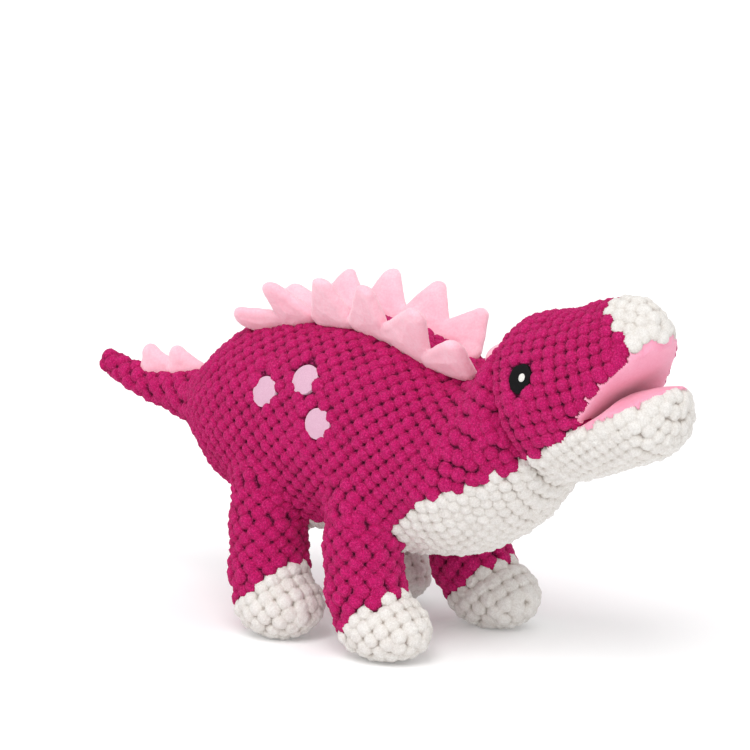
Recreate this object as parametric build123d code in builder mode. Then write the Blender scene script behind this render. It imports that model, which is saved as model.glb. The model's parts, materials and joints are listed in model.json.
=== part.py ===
"""Plush dinosaur: a bubble-knit cover sewn from panels round polyester stuffing.

Frame: +X towards the head, +Y to the animal's left, +Z up, millimetres.
The origin is on the floor, under the middle of the bounding box.
Every body is a fabric cover (a closed shell, split along its seams) round one
solid of stuffing.  The head, jaw, tail and legs each turn about the seam that
joins them, so their ends keep clear of the neighbour over the whole travel.
"""

from build123d import *
from math import sin, cos, tan, radians, sqrt
import os

os.makedirs("parts", exist_ok=True)

# ---------------------------------------------------------------- dimensions
X0 = -3.4395                # shift that puts the bounding box's middle at X = 0
KNIT = 3.0               # thickness of the bubble-knit cover
FLEECE = 2.0             # thickness of the smooth pink fleece
GAP = 0.25               # between a cover and the stuffing inside it

# Torso: (x, z, tilt in degrees, half height, half width) of each cross section
TORSO = [
    (-112.0, 95.5, 0.0, 15.5, 15.5),
    (-103.0, 96.5, 0.0, 23.5, 24.0),
    (-90.0, 98.0, 0.0, 34.5, 35.0),
    (-70.0, 98.5, 0.0, 45.0, 43.5),
    (-42.0, 99.0, 0.0, 51.5, 48.0),
    (-10.0, 99.5, 0.0, 54.0, 49.5),
    (22.0, 97.0, 2.0, 52.5, 48.5),
    (50.0, 94.8, 9.8, 47.0, 46.0),
    (73.0, 102.0, 20.0, 39.5, 41.0),
    (94.0, 127.0, 25.0, 38.0, 38.0),
]

# Head: pitched frame, d along the snout and n across it, from the neck seam
NECK = (94.0, 127.0)
PITCH = 25.0
HEAD = [  # (d, n of the crown, n of the chin, half width)
    (-1.0, 38.0, -38.0, 38.0),
    (18.0, 40.5, -41.5, 40.0),
    (38.0, 38.0, -42.8, 37.0),
    (56.0, 36.6, -44.0, 31.0),
    (68.0, 35.2, -43.2, 26.5),
    (78.0, 33.0, -38.0, 20.5),
    (85.5, 29.5, -28.5, 14.0),
    (90.5, 22.0, -19.5, 8.0),
]
MOUTH = (46.0, -17.0)    # the corner of the mouth in the head's frame
PALATE = 33.0            # slope of the palate above the head's axis, degrees
JAW_TIP = 86.0           # how far along the head's axis the jaw reaches
CHIN_LINE = -19.5        # n of the seam between the magenta cheek and the white chin
NOD = (-12.0, 12.0)
JAW_OPEN, JAW_CLOSE = 10.0, 20.0

# Tail: (x, z, radius)
TAIL = [
    (-112.6, 95.5, 15.0),
    (-122.0, 96.0, 12.6),
    (-135.0, 96.6, 10.2),
    (-148.0, 97.6, 8.4),
    (-160.0, 100.2, 7.2),
    (-170.0, 103.4, 6.2),
    (-174.5, 104.8, 4.6),
    (-176.0, 105.3, 2.6),
]
TAIL_BALL = 10.0
WAG = 25.0

# Legs: hip point, then (z, x, y, rx, ry) of each cross section; y is for the left leg
HIP_R = 19.0
HIP_Z = 74.0
FRONT = [
    (0.0, 33.0, 40.5, 16.0, 12.0),
    (6.0, 33.0, 40.4, 24.0, 18.0),
    (18.0, 32.0, 40.0, 26.5, 20.0),
    (30.0, 26.5, 39.2, 23.0, 19.4),
    (44.0, 17.5, 37.8, 18.5, 18.4),
    (58.0, 15.2, 36.4, 18.3, 18.3),
    (74.0, 15.0, 35.0, 18.6, 18.6),
]
HIND = [
    (0.0, -34.0, 39.5, 15.0, 12.0),
    (6.0, -34.0, 39.4, 22.0, 18.0),
    (18.0, -35.0, 39.0, 24.0, 20.0),
    (30.0, -38.5, 37.8, 21.6, 19.4),
    (44.0, -43.6, 35.8, 18.2, 18.2),
    (58.0, -45.8, 33.8, 18.0, 18.0),
    (74.0, -46.0, 32.0, 18.6, 18.6),
]
FRONT_SWING = (-25.0, 7.0)    # about +Y: negative swings the foot forward
HIND_SWING = (-7.0, 25.0)
FOOT_SLOPE = 42.0             # slope of the seam between leg and foot cover

# Back spikes: foot of each spike on the seam (x, z), lean in the XZ plane, height
SEAM_Y = 15.5
SPIKES = [
    (-60.0, 144.0, -62.0, 19.0),
    (-41.0, 148.5, -20.0, 20.5),
    (-18.0, 150.8, -1.0, 23.5),
    (7.0, 150.2, 3.0, 24.0),
    (32.0, 144.8, 14.0, 23.0),
    (53.5, 139.0, 24.0, 20.0),
]
SPIKE_BASE = (14.0, 6.0)      # half length and half thickness at the foot
SPIKE_SPLAY = 20.0            # outward lean of both rows, degrees

# Tail spikes: (x, z, height)
TAIL_SPIKES = [(-129.0, 106.5, 12.5), (-148.0, 104.8, 13.5)]

# Spots on each flank: (x, z) and radius; eyes in the head's frame
SPOTS = [(-40.0, 120.6), (-18.0, 129.4), (-4.0, 111.0)]
SPOT_R = 7.0
EYE = (27.0, 13.9)
EYE_R = 6.6
EMBROIDERY = 0.9

c25, s25 = cos(radians(PITCH)), sin(radians(PITCH))


def hd(d, n, y=0.0):
    """A point of the head's frame in the part's frame."""
    return (NECK[0] + d * c25 - n * s25, y, NECK[1] + d * s25 + n * c25)


def section_plane(x, z, tilt):
    t = radians(tilt)
    return Plane(origin=(x, 0, z), x_dir=(0, 1, 0), z_dir=(cos(t), 0, sin(t)))


HEAD_FACE = Plane(origin=(NECK[0], 0, NECK[1]), x_dir=(c25, 0, s25), z_dir=(0, -1, 0))
SIDE = Plane(origin=(0, 0, 0), x_dir=(1, 0, 0), z_dir=(0, -1, 0))


def oval(half_w, half_h, start=235.0):
    """Points round an oval; the curve's own seam lies low on one flank."""
    turn = [radians(start + 60.0 * k) for k in range(6)]
    return [(half_w * cos(a), half_h * sin(a)) for a in turn]


# ---------------------------------------------------------------- envelopes
def torso_envelope(grow):
    with BuildPart() as env:
        for x, z, tilt, hz, hw in TORSO:
            with BuildSketch(section_plane(x, z, tilt)):
                with BuildLine():
                    Spline(*oval(hw + grow, hz + grow), periodic=True)
                make_face()
        loft()
    return env.part


def head_envelope(grow):
    with BuildPart() as env:
        for i, (d, top, bottom, hw) in enumerate(HEAD):
            mid, half = (top + bottom) / 2, (top - bottom) / 2
            dd = d + (grow if i == len(HEAD) - 1 else 0)
            x, _, z = hd(dd, mid)
            with BuildSketch(section_plane(x, z, PITCH)):
                with BuildLine():
                    Spline(*oval(hw + grow, half + grow), periodic=True)
                make_face()
        loft()
    return env.part


def tail_envelope(grow):
    # an inner envelope stops short of the rounded tip
    rows = TAIL if grow > -1.0 else TAIL[:-2]
    with BuildPart() as env:
        for x, z, r in rows:
            with BuildSketch(section_plane(x, z, 0)):
                with BuildLine():
                    Spline(*oval(r + grow, r + grow), periodic=True)
                make_face()
        loft()
    return env.part


def leg_envelope(rows, side, grow):
    with BuildPart() as env:
        for z, x, y, rx, ry in rows:
            zz = z - grow if z < 1.0 else z
            with BuildSketch(Plane((x, side * y, zz))):
                with BuildLine():
                    Spline(*oval(rx + grow, ry + grow, 40.0), periodic=True)
                make_face()
        loft()
        with Locations((rows[-1][1], side * rows[-1][2], HIP_Z)):
            Sphere(HIP_R + grow, rotation=(0, 0, 40))
    return env.part


def prism(plane, points, low, high):
    """A closed outline on a plane, pulled from low to high along its normal."""
    with BuildPart() as made:
        with BuildSketch(plane.offset(low)):
            with BuildLine():
                Polyline(*points, close=True)
            make_face()
        extrude(amount=high - low)
    return made.part


def largest(shape):
    """The panel itself, without the slivers a cut can leave beside it."""
    return max(shape.solids(), key=lambda one: one.volume)


def save(solid, name, pieces=1):
    if pieces == 1:
        solid = largest(solid)
    solid = solid.moved(Location((X0, 0, 0)))
    solid.label = name
    export_step(solid, f"parts/{name}.step")


torso_out = torso_envelope(0)
torso_in = torso_envelope(-KNIT)
torso_fill = torso_envelope(-KNIT - GAP)
head_out = head_envelope(0)
head_in = head_envelope(-KNIT)
head_fill = head_envelope(-KNIT - GAP)

# ---------------------------------------------------------------- clearances
# In front of the neck seam, and the ball of stuffing that the head turns on
NECK_BALL = 25.0
neck_front = prism(
    HEAD_FACE, [(-0.6, -70), (120, -70), (120, 70), (-0.6, 70)], -70, 70
)
with BuildPart() as neck_socket:
    with Locations((NECK[0], 0, NECK[1])):
        Sphere(NECK_BALL + 0.6, rotation=(0, 90, 0))
with BuildPart() as tail_socket:
    with Locations((TAIL[0][0], 0, TAIL[0][1])):
        Sphere(TAIL_BALL + 0.5, rotation=(0, 90, 0))


def leg_slot(rows, side, swing):
    """The room that a leg needs in the torso over its whole swing."""
    hx, hy = rows[-1][1], side * rows[-1][2]
    r = HIP_R + 0.7
    back, fore = radians(swing[0] - 3), radians(swing[1] + 3)
    # the fan between the two extreme legs, seen from the side: angles are about +Y,
    # and a negative one carries the foot towards +X
    a, b = -back, fore
    reach = 60.0
    fan = [
        (hx + r * cos(a), HIP_Z + r * sin(a)),
        (hx + r * cos(a) + reach * sin(a), HIP_Z + r * sin(a) - reach * cos(a)),
        (hx - r * cos(b) - reach * sin(b), HIP_Z + r * sin(b) - reach * cos(b)),
        (hx - r * cos(b), HIP_Z + r * sin(b)),
    ]
    inner, outer = abs(hy) - r, abs(hy) + 30
    low, high = (inner, outer) if side < 0 else (-outer, -inner)
    with BuildPart() as slot:
        with BuildSketch(SIDE.offset(low)):
            with BuildLine():
                Polyline(*fan, close=True)
            make_face()
            with Locations((hx, HIP_Z)):
                Circle(r)
        extrude(amount=high - low)
    return slot.part


slots = [
    leg_slot(FRONT, -1, FRONT_SWING),
    leg_slot(FRONT, 1, FRONT_SWING),
    leg_slot(HIND, -1, HIND_SWING),
    leg_slot(HIND, 1, HIND_SWING),
]

# ---------------------------------------------------------------- torso
torso_shell = torso_out - torso_in - neck_front
for slot in slots:
    torso_shell -= slot
# a closed rump wall, pierced where the tail's stuffing turns in it
with BuildPart() as rump:
    with BuildSketch(Plane.YZ.offset(TAIL[0][0] + 0.6)):
        with Locations((0, TAIL[0][1])):
            Circle(TORSO[0][3] - KNIT - 0.35)
            Circle(TAIL_BALL + 0.55, mode=Mode.SUBTRACT)
    extrude(amount=1.2)

belly_line = [
    (-82, 20), (-82, 53), (-60, 55), (-30, 55.5), (0, 56.5), (25, 62), (41, 73),
    (68, 88), (91, 98), (107, 108), (130, 117), (130, 20),
]
belly_zone = prism(SIDE, belly_line, -60, 60)
gusset_zone = prism(
    SIDE, [(-84, 100), (110, 100), (110, 200), (-84, 200)], -SEAM_Y, SEAM_Y
)
right_zone = prism(
    SIDE, [(-130, 0), (130, 0), (130, 220), (-130, 220)], 0, 80
)
left_zone = prism(
    SIDE, [(-130, 0), (130, 0), (130, 220), (-130, 220)], -80, 0
)

belly = torso_shell & belly_zone
upper = torso_shell - belly_zone
gusset = upper & gusset_zone
sides = upper - gusset_zone
side_right = sides & right_zone
side_left = sides & left_zone

with BuildPart() as rear_trim:
    with BuildSketch(Plane.YZ.offset(TAIL[0][0] + 2.0)):
        Rectangle(200, 400)
    extrude(amount=-20)
stuffing = torso_fill - neck_front - rear_trim.part - neck_socket.part - tail_socket.part
for slot in slots:
    stuffing -= slot

save(belly, "belly_panel")
save(gusset, "back_gusset")
save(side_right, "torso_side_right")
save(side_left, "torso_side_left")
save(stuffing, "torso_stuffing")
save(rump.part, "rump_facing")

# ---------------------------------------------------------------- spots
torso_skin = torso_envelope(EMBROIDERY) - torso_envelope(0.05)


def flank_discs(side, points, radius, skin):
    discs = None
    for x, z in points:
        low, high = (25, 80) if side < 0 else (-80, -25)
        with BuildPart() as disc:
            with BuildSketch(SIDE.offset(low)):
                with Locations((x, z)):
                    Ellipse(radius, radius)
            extrude(amount=high - low)
        cut = disc.part & skin
        discs = cut if discs is None else discs + cut
    return discs


save(flank_discs(-1, SPOTS, SPOT_R, torso_skin), "spots_right", 3)
save(flank_discs(1, SPOTS, SPOT_R, torso_skin), "spots_left", 3)


# ---------------------------------------------------------------- back spikes
def spike(x, z, lean, height, side):
    """One padded point: a lens-shaped foot drawn up to a rounded tip."""
    t, s = radians(lean), radians(SPIKE_SPLAY)
    up = Vector(sin(t), side * cos(t) * sin(s), cos(t) * cos(s))
    along = Vector(cos(t), 0, -sin(t))
    foot = Vector(x, side * (SEAM_Y + 2.0), z)
    bl, bt = SPIKE_BASE
    rows = [
        (-3.0, bl, bt * 0.75),
        (3.0, bl * 0.93, bt),
        (height * 0.45, bl * 0.66, bt * 0.95),
        (height * 0.78, bl * 0.42, bt * 0.75),
        (height * 0.95, bl * 0.24, bt * 0.45),
    ]
    with BuildPart() as made:
        for h, a, b in rows:
            o = foot + up * h
            with BuildSketch(Plane(origin=tuple(o), x_dir=tuple(along), z_dir=tuple(up))):
                with BuildLine():
                    Spline(*oval(a, b, 65.0), periodic=True)
                make_face()
        loft()
    return made.part


def spike_row(side):
    row = None
    for x, z, lean, height in SPIKES:
        one = spike(x, z, lean, height, side)
        row = one if row is None else row + one
    return row


rows = {}
for side, name in ((-1, "back_spikes_right"), (1, "back_spikes_left")):
    row = spike_row(side)
    rows[side] = row - torso_envelope(0.15)
    save(rows[side], name)

# ---------------------------------------------------------------- head
wedge = tan(radians(-NOD[0] + 3.0))
behind = prism(
    HEAD_FACE,
    [(-60, -80), (80 * wedge, -80), (0.4, 0), (80 * wedge, 80), (-60, 80)],
    -70, 70,
)
palate_t = tan(radians(PALATE))
md, mn = MOUTH
# the open mouth, and everything in front of the jaw's tip
mouth_cut = prism(
    HEAD_FACE,
    [
        (md, mn), (130, mn + (130 - md) * palate_t), (130, -80),
        (JAW_TIP, -80), (JAW_TIP, mn),
    ],
    -70, 70,
)
jaw_rear = tan(radians(JAW_OPEN + 2.5))
KNUCKLE = 3.0            # the rolled seam that the jaw turns on
jaw_zone = prism(
    HEAD_FACE,
    [(md, mn), (JAW_TIP, mn), (JAW_TIP, -80), (md, -80)],
    -70, 70,
)
# what the head keeps clear for the jaw: its own space, swung open and shut
jaw_room = prism(
    HEAD_FACE,
    [
        (md - 0.5, mn + 0.35), (130, mn + 0.35), (130, -80),
        (md - 0.5 - (80 + mn) * jaw_rear, -80),
    ],
    -70, 70,
)
with BuildPart() as knuckle_room:
    with BuildSketch(HEAD_FACE.offset(-60)):
        with Locations((md, mn)):
            Circle(KNUCKLE + 0.5)
    extrude(amount=120)

upper_zone = prism(
    HEAD_FACE,
    [
        (-40, -90), (md, -90), (md, mn), (130, mn + (130 - md) * palate_t),
        (130, 90), (-40, 90),
    ],
    -70, 70,
)
head_body = (head_out & upper_zone) - behind - jaw_room - knuckle_room.part
head_inner = (head_in & upper_zone) - behind
palate_slab = prism(
    HEAD_FACE,
    [
        (md - 1.0, mn + 0.3), (md, mn + 0.3), (130, mn + (130 - md) * palate_t),
        (130, mn + (130 - md) * palate_t + FLEECE / cos(radians(PALATE))),
        (md - 1.0, mn + FLEECE / cos(radians(PALATE))),
    ],
    -70, 70,
)
palate = head_body & palate_slab
# the head cover: knit outside, open at the neck and along the palate
head_cover = head_body - palate_slab - head_inner
chin_zone = prism(
    HEAD_FACE,
    [(-40, -90), (md + 2, -90), (md + 2, CHIN_LINE + 2), (md - 8, CHIN_LINE), (-40, CHIN_LINE)],
    -70, 70,
)
nose_zone = prism(
    HEAD_FACE, [(62, 60), (66.5, 36), (74, 24), (84, 4), (130, -10), (130, 60)], -70, 70
)
chin = head_cover & chin_zone
face = head_cover - chin_zone
nose = face & nose_zone
face = face - nose_zone
face_right = face & right_zone.moved(Location((80, 0, 0)))
face_left = face & left_zone.moved(Location((80, 0, 0)))
save(chin, "chin_panel")
save(nose, "snout_tip")
save(palate, "palate_lining")
save(face_right, "head_side_right")
save(face_left, "head_side_left")

palate_back = prism(
    HEAD_FACE,
    [
        (-60, -90), (md - 1.3, -90), (md - 1.3, mn + FLEECE / cos(radians(PALATE)) + GAP),
        (130, mn + (130 - md + 1.3) * palate_t + (FLEECE + GAP) / cos(radians(PALATE))),
        (130, 90), (-60, 90),
    ],
    -70, 70,
)
with BuildPart() as neck_ball:
    with Locations((NECK[0], 0, NECK[1])):
        Sphere(NECK_BALL, rotation=(0, 90, 0))
jaw_room_in = prism(
    HEAD_FACE,
    [
        (md - 1.3, mn + 0.6), (130, mn + 0.6), (130, -80),
        (md - 1.3 - (80 + mn) * jaw_rear, -80),
    ],
    -70, 70,
)
head_stuffing = (
    ((head_fill & palate_back) - behind - jaw_room_in - knuckle_room.part)
    + neck_ball.part
)
save(head_stuffing, "head_stuffing")

# ---------------------------------------------------------------- eyes
head_skin = head_envelope(EMBROIDERY) - head_envelope(0.05)


def eye_disc(side, d, n, rx, ry, skin):
    low, high = (10, 80) if side < 0 else (-80, -10)
    with BuildPart() as disc:
        with BuildSketch(HEAD_FACE.offset(low)):
            with Locations((d, n)):
                Ellipse(rx, ry, rotation=-PITCH)
        extrude(amount=high - low)
    return disc.part & skin


head_skin2 = head_envelope(EMBROIDERY + 0.6) - head_envelope(EMBROIDERY + 0.02)
for side, name in ((-1, "right"), (1, "left")):
    save(eye_disc(side, EYE[0], EYE[1], EYE_R * 0.86, EYE_R, head_skin), f"eye_{name}")
    save(
        eye_disc(side, EYE[0] + 1.4, EYE[1] + 0.4, 1.5, 2.0, head_skin2),
        f"eye_glint_{name}",
    )

# ---------------------------------------------------------------- jaw
jaw_block = head_out & jaw_zone
with BuildPart() as knuckle:
    with BuildSketch(HEAD_FACE.offset(-24)):
        with Locations((md, mn)):
            Circle(KNUCKLE)
    extrude(amount=48)
# the tip is rounded in side view
with BuildPart() as tip_round:
    with BuildSketch(HEAD_FACE.offset(-70)):
        with BuildLine():
            Polyline(
                (md, mn + 1), (JAW_TIP - 6, mn + 1), (JAW_TIP - 1.5, mn - 4), (JAW_TIP, mn - 10),
                (JAW_TIP - 1.5, mn - 15), (JAW_TIP - 8, -46), (md, -46), close=True,
            )
        make_face()
    extrude(amount=140)
jaw_block = jaw_block & tip_round.part
jaw_slab = prism(
    HEAD_FACE, [(md - 1, mn - FLEECE), (130, mn - FLEECE), (130, mn + 2), (md - 1, mn + 2)], -70, 70
)
jaw_inner_zone = prism(
    HEAD_FACE,
    [(md - 10, mn - FLEECE), (JAW_TIP - KNIT, mn - FLEECE), (JAW_TIP - KNIT, -80), (md - 10, -80)],
    -70, 70,
)
jaw_lining = (jaw_block & jaw_slab) - knuckle.part
jaw_cover = (jaw_block - jaw_slab) - (head_in & jaw_inner_zone) - knuckle.part
jaw_fill_zone = prism(
    HEAD_FACE,
    [
        (md + 0.2, mn - FLEECE - GAP), (JAW_TIP - KNIT - GAP, mn - FLEECE - GAP),
        (JAW_TIP - KNIT - GAP, -39), (md + 0.2, -80),
    ],
    -70, 70,
)
tip_in = prism(
    HEAD_FACE,
    [
        (md - 12, mn - FLEECE - GAP), (JAW_TIP - 10, mn - FLEECE - GAP), (JAW_TIP - 5.5, mn - 10),
        (JAW_TIP - 12, -41), (md - 12, -41),
    ],
    -70, 70,
)
jaw_web = prism(
    HEAD_FACE, [(md, mn), (md + 6, mn), (md + 6, mn - 8), (md, mn - 8)], -23, 23
)
jaw_lining -= jaw_web
jaw_stuffing = (head_fill & jaw_fill_zone & tip_in) + jaw_web + knuckle.part
save(jaw_lining, "jaw_lining")
save(jaw_cover - jaw_web, "jaw_cover")
save(jaw_stuffing, "jaw_stuffing")

# ---------------------------------------------------------------- tail
tail_out, tail_in, tail_fill = tail_envelope(0), tail_envelope(-2.4), tail_envelope(-2.4 - GAP)
tw = tan(radians(WAG + 2))
tx, tz = TAIL[0][0], TAIL[0][1]
tail_front = prism(
    Plane.XY,
    [(tx - 0.6, 0), (tx - 0.6 - 40 * tw, 40), (20, 40), (20, -40), (tx - 0.6 - 40 * tw, -40)],
    50, 150,
)
tail_shell = tail_out - tail_in - tail_front
tail_right = tail_shell & prism(SIDE, [(-220, 0), (20, 0), (20, 200), (-220, 200)], 0, 60)
tail_left = tail_shell & prism(SIDE, [(-220, 0), (20, 0), (20, 200), (-220, 200)], -60, 0)
save(tail_right, "tail_side_right")
save(tail_left, "tail_side_left")
with BuildPart() as tail_ball:
    with Locations((tx, 0, tz)):
        Sphere(TAIL_BALL, rotation=(0, 90, 0))
save((tail_fill - tail_front) + tail_ball.part, "tail_stuffing")


def tail_point(x, z, height):
    rows_ = [(-2.5, 10.0, 3.0), (1.5, 9.6, 4.6), (height * 0.55, 7.2, 4.4), (height * 0.93, 3.4, 2.4)]
    with BuildPart() as made:
        for h, a, b in rows_:
            with BuildSketch(Plane(origin=(x - 0.28 * h, 0, z + h), x_dir=(1, 0, 0), z_dir=(0, 0, 1))):
                Ellipse(a, b)
        loft()
    return made.part


tail_row = tail_point(*TAIL_SPIKES[0]) + tail_point(*TAIL_SPIKES[1])
tail_row = tail_row - tail_envelope(0.1) - tail_front
save(tail_row, "tail_spikes")

# ---------------------------------------------------------------- legs
for rows_, side, name in (
    (FRONT, -1, "front_right"),
    (FRONT, 1, "front_left"),
    (HIND, -1, "hind_right"),
    (HIND, 1, "hind_left"),
):
    out = leg_envelope(rows_, side, 0)
    inn = leg_envelope(rows_, side, -KNIT)
    fill = leg_envelope(rows_, side, -KNIT - GAP)
    shell = out - inn
    fx = rows_[2][1]
    ft = tan(radians(FOOT_SLOPE))
    foot_zone = prism(
        SIDE,
        [
            (fx - 60, 13 - 36 * ft), (fx - 24, 13 - 0 * ft), (fx + 6, 13 + 30 * ft * 0.9),
            (fx + 40, 42), (fx + 60, 42), (fx + 60, -20), (fx - 60, -20),
        ],
        -80, 80,
    )
    save(shell - foot_zone, f"leg_{name}")
    save(shell & foot_zone, f"foot_{name}")
    save(fill, f"leg_stuffing_{name}")
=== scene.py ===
import json
import math

import bpy
import numpy as np
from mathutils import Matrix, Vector
from mathutils.kdtree import KDTree


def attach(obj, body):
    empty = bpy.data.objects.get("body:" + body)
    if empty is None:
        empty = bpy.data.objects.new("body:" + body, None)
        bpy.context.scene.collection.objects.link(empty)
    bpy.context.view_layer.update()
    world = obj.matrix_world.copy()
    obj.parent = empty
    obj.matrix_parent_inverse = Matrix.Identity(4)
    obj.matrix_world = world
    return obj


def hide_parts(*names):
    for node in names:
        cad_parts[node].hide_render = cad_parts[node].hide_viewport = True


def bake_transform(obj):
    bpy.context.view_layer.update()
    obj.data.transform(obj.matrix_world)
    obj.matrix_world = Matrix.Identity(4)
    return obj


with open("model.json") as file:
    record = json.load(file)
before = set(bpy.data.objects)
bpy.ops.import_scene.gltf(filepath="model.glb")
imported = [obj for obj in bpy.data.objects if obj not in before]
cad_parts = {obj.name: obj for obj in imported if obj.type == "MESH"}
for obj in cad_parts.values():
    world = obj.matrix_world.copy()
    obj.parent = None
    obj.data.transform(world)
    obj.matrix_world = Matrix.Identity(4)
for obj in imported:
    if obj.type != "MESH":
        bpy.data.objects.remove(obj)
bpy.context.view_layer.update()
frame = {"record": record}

rng = np.random.default_rng(20417)

# ------------------------------------------------------------------ frame
# Shapes are worked out in millimetres with the neck seam at x = 94; the record's
# head hinge says where that is in the row frame.
joints = {j["name"]: j for j in frame["record"]["behaviour"]["joints"]}
SHIFT = joints["head_nod"]["pos_m"][0] * 1000.0 - 94.0
PITCH = 6.2          # spacing of the knit's puffs
PUFF_H = 3.0         # how far a puff stands out of its backing
INSET = 2.6          # the backing lies this far inside the outline
STEP = 1.04

c25, s25 = math.cos(math.radians(25.0)), math.sin(math.radians(25.0))
NECK = np.array([94.0, 0.0, 127.0])


def to_head(p):
    """(d, y, n): along the snout, across, and towards the crown."""
    x, z = p[:, 0] - NECK[0], p[:, 2] - NECK[2]
    return np.stack([x * c25 + z * s25, p[:, 1], -x * s25 + z * c25], 1)


def from_head(q):
    x = NECK[0] + q[:, 0] * c25 - q[:, 2] * s25
    z = NECK[2] + q[:, 0] * s25 + q[:, 2] * c25
    return np.stack([x, q[:, 1], z], 1)


# ------------------------------------------------------------------ smooth tables
class Table:
    def __init__(self, rows, count=900):
        rows = np.array(rows, float)
        x, y = rows[:, 0], rows[:, 1:]
        h = np.diff(x)
        slope = np.diff(y, axis=0) / h[:, None]
        m = np.zeros_like(y)
        m[0], m[-1] = slope[0], slope[-1]
        for i in range(1, len(x) - 1):
            a, b = slope[i - 1], slope[i]
            w = (h[i] * a + h[i - 1] * b) / (h[i] + h[i - 1])
            lim = 3 * np.minimum(np.abs(a), np.abs(b))
            m[i] = np.where(a * b <= 0, w * 0.35, np.clip(w, -lim, lim))
        self.x = np.linspace(x[0], x[-1], count)
        k = np.clip(np.searchsorted(x, self.x, "right") - 1, 0, len(x) - 2)
        t = ((self.x - x[k]) / h[k])[:, None]
        hk = h[k][:, None]
        self.v = (
            (2 * t**3 - 3 * t**2 + 1) * y[k]
            + (t**3 - 2 * t**2 + t) * hk * m[k]
            + (-2 * t**3 + 3 * t**2) * y[k + 1]
            + (t**3 - t**2) * hk * m[k + 1]
        )

    def __call__(self, x):
        return [np.interp(x, self.x, self.v[:, i]) for i in range(self.v.shape[1])]


# x, top, bottom, half width of the torso and tail
TORSO = Table([
    (-175, 109.4, 98.4, 5.4), (-160, 107.0, 92.6, 7.0), (-147, 105.4, 89.0, 8.3),
    (-130, 107.6, 85.8, 10.9), (-121, 109.6, 82.8, 13.2), (-112, 113.0, 79.0, 17.0),
    (-103, 120.5, 72.5, 24.8), (-90, 132.0, 63.0, 35.0), (-80, 138.9, 57.6, 40.0),
    (-70, 143.5, 53.5, 43.5), (-56, 147.6, 49.8, 46.4), (-42, 150.5, 47.5, 48.0),
    (-26, 152.7, 46.0, 49.2), (-10, 153.5, 45.3, 49.6), (6, 152.2, 44.7, 49.4),
    (22, 149.5, 44.3, 48.6), (33, 145.8, 44.7, 47.7), (42, 142.0, 45.8, 46.8),
    (50, 139.6, 47.0, 45.8), (58, 139.0, 48.7, 44.6), (64, 140.8, 50.8, 43.6),
    (70, 145.5, 54.0, 42.4), (78, 156.0, 58.8, 40.8), (84, 165.0, 62.9, 39.2),
    (90, 172.0, 67.6, 37.8), (100, 181.0, 78.5, 35.5), (108, 188.0, 89.0, 34.0),
    (118, 194.0, 100.0, 31.0),
])
# d, top n, bottom n, half width of the head; and of the jaw with its closed top
HEAD = Table([
    (-8, 34.5, -34.5, 34.5), (-3, 37.8, -37.8, 37.8), (1, 39.8, -39.6, 39.8), (10, 40.8, -40.6, 40.7),
    (20, 41.0, -41.5, 40.3), (30, 39.4, -42.3, 38.7), (38, 37.7, -42.9, 36.6),
    (47, 37.0, -43.5, 33.6), (60, 36.4, -44.0, 29.2), (70, 35.2, -42.6, 24.8),
    (78, 33.0, -38.0, 19.6), (82.5, 30.4, -31.5, 15.8), (86, 26.0, -24.5, 11.2),
    (88.6, 19.4, -18.0, 6.6), (89.9, 13.6, -14.0, 2.7),
])
JAW = Table([
    (-8, 34.5, -34.5, 34.5), (-3, 37.8, -37.8, 37.8), (1, 39.8, -39.6, 39.8), (10, 40.8, -40.6, 40.7),
    (20, 41.0, -41.5, 40.3), (30, 37.0, -42.3, 38.7), (40, 30.0, -43.0, 36.2),
    (50, 24.0, -43.8, 32.6), (60, 18.0, -44.0, 29.0), (66, 12.0, -43.6, 26.4),
    (72, 4.5, -41.2, 22.2), (76.8, -2.5, -36.4, 17.2), (80.2, -7.5, -30.2, 12.5),
    (82.8, -11.2, -24.6, 7.2), (84.3, -14.2, -20.4, 2.7),
])

LEGS = {
    "front_right": (15.0, -1, "front"), "front_left": (15.0, 1, "front"),
    "hind_right": (-46.0, -1, "hind"), "hind_left": (-46.0, 1, "hind"),
}


def tube(p, q, table):
    """p is the coordinate along, q (y, z'); the table gives top, bottom, half width."""
    top, bottom, hw = table(p)
    mid, hz = (top + bottom) / 2, (top - bottom) / 2
    y, z = q[:, 0], q[:, 1] - mid
    k0 = np.sqrt((y / hw) ** 2 + (z / hz) ** 2)
    k1 = np.sqrt((y / hw**2) ** 2 + (z / hz**2) ** 2)
    near = -np.minimum(hw, hz) * (1 - k0)
    d = np.where(k0 > 0.15, k0 * (k0 - 1) / np.maximum(k1, 1e-6), near)
    ends = np.maximum(table.x[0] - p, p - table.x[-1])
    return np.maximum(d, ends)


def smin(a, b, k):
    h = np.clip(0.5 + 0.5 * (b - a) / k, 0, 1)
    return b * (1 - h) + a * h - k * h * (1 - h)


def smax(a, b, k):
    return -smin(-a, -b, k)


def round_cone(p, a, b, ra, rb):
    a, b = np.array(a, float), np.array(b, float)
    ab = b - a
    t = np.clip((p - a) @ ab / (ab @ ab), 0, 1)
    return np.linalg.norm(p - a - t[:, None] * ab, axis=1) - (ra + (rb - ra) * t)


def ellipsoid(p, c, r):
    q = p - np.array(c, float)
    r = np.array(r, float)
    k0 = np.linalg.norm(q / r, axis=1)
    k1 = np.linalg.norm(q / r**2, axis=1)
    return np.where(k0 > 0.1, k0 * (k0 - 1) / np.maximum(k1, 1e-6), -r.min() * (1 - k0))


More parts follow.
